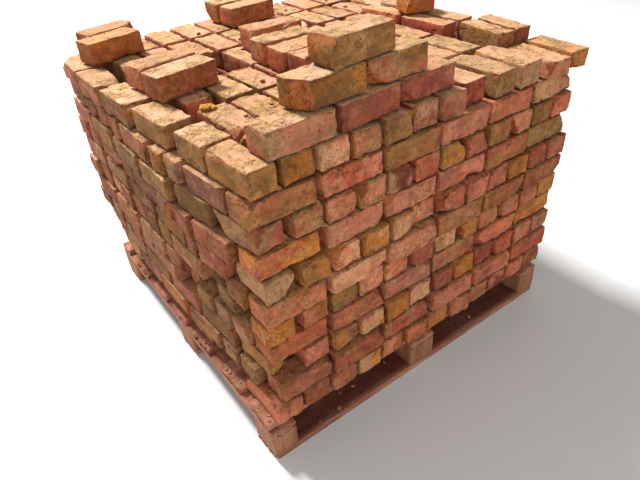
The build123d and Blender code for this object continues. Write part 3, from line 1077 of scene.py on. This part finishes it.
def woodMaterial():
    material, board = startShader("roughSawnWood")
    own = board.attribute("own", "Vector")
    endLook = board.attribute("endLook")
    upward = upwardness(board)
    fibres, streaks, wander, split, cloud, speck = [board.noise(own, *row) for row in woodNoises.values()]

    # yearly rings, which show as lines along the boards and as arcs on their ends
    fromPith = board.vector("LENGTH", board.vector("MULTIPLY", own, (0.0, 1.0, 1.0)), output=1)
    ringPhase = (fromPith + wander * woodPlan["ringWander"]) * (2 * math.pi / woodPlan["ringWidth"])
    rings = ringPhase.maths("SINE").ramp(-0.6, 1.0)

    # marks of the saw, across the fibres
    sawPhase = board.part(own, 0) * (2 * math.pi / woodPlan["sawWidth"]) + wander * woodPlan["sawWander"]
    saw = sawPhase.maths("SINE").ramp(-0.2, 1.0) * (1.0 - endLook)

    colour = board.between(streaks.ramp(0.35, 0.65), woodPlan["tones"])
    colour = board.marked(colour, woodMarks["cloud"], cloud.ramp(0.45, 0.68))
    colour = board.marked(colour, woodMarks["block"], board.attribute("stood"), streaks)
    colour = board.shaded(colour, rings * -0.16 + 1.06, fibres.spread(0.80, 1.14), saw * -0.08 + 1.03)
    colour = board.marked(colour, woodMarks["end"], endLook, None, rings * -0.35 + 1.1)
    torn = (board.attribute("torn") * fibres.ramp(0.35, 0.6)).atMost(1.0)
    colour = board.marked(colour, woodMarks["torn"], torn)

    # brick dust, lying thickest on what looks up
    dust = (cloud + speck * 0.5).ramp(0.66, 0.94) * (upward.ramp(-0.2, 0.8) * 0.5 + 0.25)
    colour = board.marked(colour, woodMarks["dust"], dust)

    # painted shade inside the pallet, where the load keeps the light off
    place = board.add("ShaderNodeTexCoord", {}, {}, "Object")
    offMiddle = board.vector("ABSOLUTE", place)
    reach = board.part(offMiddle, 0).atLeast(board.part(offMiddle, 1))
    damp = reach.ramp(*woodPlan["underLoadShadeDepth"], 1.0, 0.0)
    damp = damp * board.part(place, 2).ramp(*woodPlan["underLoadShadeHeight"], 1.0, 0.0)
    damp = damp * upward.ramp(0.1, 0.7) * (cloud * 0.5 + 0.6)
    colour = board.marked(colour, woodMarks["damp"], damp.atMost(0.9))

    # checks and splits along the fibres
    splits = split.ramp(0.27, 0.32, 1.0, 0.0)
    colour = board.marked(colour, woodMarks["split"], splits)

    height = fibres * 0.6 + rings * 0.15 - splits * 1.2 + saw * 0.12 + speck * 0.2
    finishShader(board, colour, fibres.spread(*woodPlan["roughness"]), height, *woodPlan["bump"])
    return material


def dressBoard(nodeName, dice):
    solid = solidsOf(nodeName)[0]
    isBlock = nodeName.startswith("block")
    across = palletPlan["seedReach"]
    lowRag, highRag = raggedEnds.get(nodeName, [dice.uniform(*palletPlan["endWear"]) for end in range(2)])
    return {
        "centre": list(solid["centre"]),
        "size": list(solid["size"]),
        "turns": (0.0, 0.0, solid["turn"]),
        "seed": [dice.uniform(-reach, reach) for reach in (brickPlan["seedReach"], across, across)],
        "wear": dice.uniform(*palletPlan["wear"]) * (palletPlan["blockArris"] if isBlock else 1.0),
        "upright": 1.0 if isBlock else 0.0,
        "setBack": palletPlan["frontSetBack"] if nodeName == "deck_board_1" else 0.0,
        "ragLow": 0.0 if isBlock else lowRag,
        "ragHigh": 0.0 if isBlock else highRag,
    }


def makePallet():
    boardCuts = asInputs(palletPlan, ("cutsAlongBoard", "cutsAcrossBoard", "cutsThroughBoard"))
    shapes = ("gatherAtEdges", "arris", "fibreRelief", "warp", "splinterReach", "splinterWidth")
    values = {**boardCuts, **asInputs(palletPlan, shapes), "Material": woodMaterial()}
    tree = boardTree(values)
    for order, nodeName in enumerate(sorted(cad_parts)):
        if nodeName.startswith(("course", "loose", "hidden")):
            continue
        dice = random.Random(palletPlan["seed"] * 1000 + order)
        for label, count in boardCuts.items():
            values[label] = 1 + (palletPlan["cutsOfBlock"] if nodeName.startswith("block") else count)
        piece = growPiece("worn_" + nodeName, placeMesh(nodeName, [dressBoard(nodeName, dice)]), tree, values)
        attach(piece, "root")
        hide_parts(nodeName)


nailPlan = {
    "headRadius": 0.0042,
    "headHeight": 0.0022,
    "headTop": 0.8,
    "sides": 9,
    "acrossBoard": 0.27,
    "apart": 0.022,
    "jitter": 0.006,
    "sunk": 0.0008,
    "blotches": (0.004, 0.004),
    "contrast": 0.0,
    "tones": ((92, 66, 54), (134, 76, 48)),
    "roughness": (0.6, 0.85),
    "bump": (0.5, 0.0008),
    "seed": 21,
}


def nailTree(values):
    board, given = startTree("nailHeads", values)
    head = {
        "Vertices": given["Sides"],
        "Side Segments": 1,
        "Fill Segments": 1,
        "Radius Top": Wire(board, given["Head radius"]) * nailPlan["headTop"],
        "Radius Bottom": given["Head radius"],
        "Depth": given["Head height"],
    }
    cone = board.add("GeometryNodeMeshCone", {"fill_type": "NGON"}, head)
    heads = board.add("GeometryNodeInstanceOnPoints", {}, {"Points": given["Places"], "Instance": cone})
    return finishTree(board, given, board.add("GeometryNodeRealizeInstances", {}, {"Geometry": heads}))


def makeNails():
    # two nails wherever a deck board crosses a stringer
    dice = random.Random(nailPlan["seed"])
    places = []
    for nodeName in sorted(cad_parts):
        if not nodeName.startswith("deck_board"):
            continue
        low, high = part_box(nodeName)
        for stringer in ("stringer_board_left", "stringer_board_middle", "stringer_board_right"):
            stringerLow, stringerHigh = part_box(stringer)
            middle = (stringerLow[0] + stringerHigh[0]) / 2
            for side in (-1, 1):
                jitter = [dice.uniform(-1, 1) * nailPlan["jitter"] for axis in range(2)]
                x = middle + side * nailPlan["apart"] + jitter[0]
                y = (low[1] + high[1]) / 2 + side * nailPlan["acrossBoard"] * (high[1] - low[1]) + jitter[1]
                places.append((x, y, high[2] - nailPlan["sunk"] - palletPlan["warp"] / 2))
    mesh = bpy.data.meshes.new("nailPlaces")
    mesh.from_pydata(places, [], [])
    values = asInputs(nailPlan, ("headRadius", "headHeight", "sides"))
    values["Material"] = spottedMaterial("rustySteel", nailPlan)
    nails = growPiece("deck_nails", mesh, nailTree(values), values)
    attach(nails, "root")


makePallet()
makeNails()
print("stage 4: pallet")


# Floor and light

floorPlan = {
    "reach": 30.0,
    "paint": (0.8, 0.8, 0.79, 1),
    "roughness": 0.9,
}

lightPlan = {
    "worldStrength": 0.37,
    "backgroundStrength": 0.92,
    "aim": (0, 0, 0.7),
    "keyPlace": (-0.9, 4.6, 7.0),
    "keySize": 1.5,
    "keyStrength": 1150.0,
    "fillPlace": (-1.1, -3.2, 2.0),
    "fillSize": 2.0,
    "fillStrength": 30.0,
}


def makeStage():
    floorMesh = bpy.data.meshes.new("floor")
    reach = floorPlan["reach"]
    corners = [(-reach, -reach, 0), (reach, -reach, 0), (reach, reach, 0), (-reach, reach, 0)]
    floorMesh.from_pydata(corners, [], [(0, 1, 2, 3)])
    floor = inScene("floor", floorMesh)
    paint = bpy.data.materials.new("paleFloor")
    paint.use_nodes = True
    shader = paint.node_tree.nodes["Principled BSDF"]
    shader.inputs["Base Color"].default_value = floorPlan["paint"]
    shader.inputs["Roughness"].default_value = floorPlan["roughness"]
    floorMesh.materials.append(paint)


def addLamp(name, place, size, strength):
    light = bpy.data.lights.new(name, "AREA")
    light.shape = "SQUARE"
    light.size = size
    light.energy = strength
    lamp = inScene(name, light)
    lamp.location = place
    lamp.rotation_mode = "QUATERNION"
    lamp.rotation_quaternion = (Vector(lightPlan["aim"]) - Vector(place)).to_track_quat("-Z", "Y")


def makeLight():
    # the world lights the stack softly, and is seen almost white behind it
    world = bpy.data.worlds.new("world")
    scene.world = world
    world.use_nodes = True
    board = Board(world.node_tree)
    kinds = ("Is Camera Ray", "Is Glossy Ray", "Is Transmission Ray")
    rays = [board.add("ShaderNodeLightPath", {}, {}, kind) for kind in kinds]
    seen = rays[0].atLeast(rays[1]).atLeast(rays[2])
    lit = lightPlan["worldStrength"]
    background = world.node_tree.nodes["Background"]
    background.inputs[0].default_value = (1.0, 1.0, 1.0, 1.0)
    board.feed(seen * (lightPlan["backgroundStrength"] - lit) + lit, background.inputs[1])
    for name in ("key", "fill"):
        addLamp(name + "Light", *[lightPlan[name + part] for part in ("Place", "Size", "Strength")])


makeStage()
makeLight()
scene.view_settings.view_transform = "Standard"
print("stage 5: floor and light")
